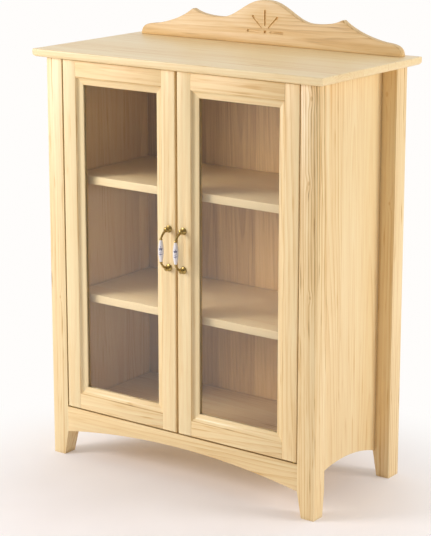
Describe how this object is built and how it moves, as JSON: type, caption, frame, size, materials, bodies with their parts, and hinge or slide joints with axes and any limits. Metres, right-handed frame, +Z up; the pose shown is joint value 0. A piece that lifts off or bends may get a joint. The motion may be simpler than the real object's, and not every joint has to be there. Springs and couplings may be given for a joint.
{
  "type": "display cabinet",
  "caption": "Freestanding pine display cabinet with glazed double doors, shelves, scrolled crest board, arched aprons, tapered legs and porcelain bow handles.",
  "frame": {"origin": "centre of the bounding box at floor level", "axes": "+Z up, -Y out of the doors, +X to the right seen from in front of the doors"},
  "size_m": [0.85, 0.45, 1.163],
  "materials": {
    "pine": "clear satin lacquer",
    "beech": "bare",
    "glass": "polished",
    "brass": "antique, satin",
    "porcelain": "glossy white glaze with small blue painted sprigs",
    "steel": "zinc plated",
    "nylon": "moulded"
  },
  "bodies": {
    "case": {"left_front_post": "pine", "right_front_post": "pine", "left_rear_post": "pine", "right_rear_post": "pine", "left_side_panel": "pine", "right_side_panel": "pine", "front_apron": "pine", "front_top_rail": "pine", "rear_top_rail": "pine", "rear_bottom_rail": "pine", "bottom_board": "pine", "left_cleat": "pine", "right_cleat": "pine", "top_board": "pine", "crest_board": "pine", "back_board_1": "pine", "back_board_2": "pine", "back_board_3": "pine", "back_board_4": "pine", "back_board_5": "pine", "back_board_6": "pine", "upper_shelf": "pine", "lower_shelf": "pine", "shelf_pins": "steel", "frame_dowels": "beech", "crest_dowels": "beech", "top_screws": "steel", "cleat_screws": "steel", "pivot_bushes": "brass", "catch_sleeves": "nylon", "catch_magnets": "steel"},
    "left_door": {"left_hinge_stile": "pine", "left_meeting_stile": "pine", "left_door_top_rail": "pine", "left_door_bottom_rail": "pine", "left_glass": "glass", "left_glazing_beads": "pine", "left_pivot_pins": "brass", "left_handle_arms": "brass", "left_handle_grip": "porcelain", "left_handle_screws": "steel", "left_strike_plate": "steel"},
    "right_door": {"right_hinge_stile": "pine", "right_meeting_stile": "pine", "right_door_top_rail": "pine", "right_door_bottom_rail": "pine", "right_glass": "glass", "right_glazing_beads": "pine", "right_pivot_pins": "brass", "right_handle_arms": "brass", "right_handle_grip": "porcelain", "right_handle_screws": "steel", "right_strike_plate": "steel"}
  },
  "joints": [
    {"name": "left_door_hinge", "type": "hinge", "parent": "case", "child": "left_door", "pos_m": [-0.341, -0.178, 0.5815], "axis": [0, 0, -1], "range_deg": [0, 105]},
    {"name": "right_door_hinge", "type": "hinge", "parent": "case", "child": "right_door", "pos_m": [0.341, -0.178, 0.5815], "axis": [0, 0, 1], "range_deg": [0, 105]}
  ]
}
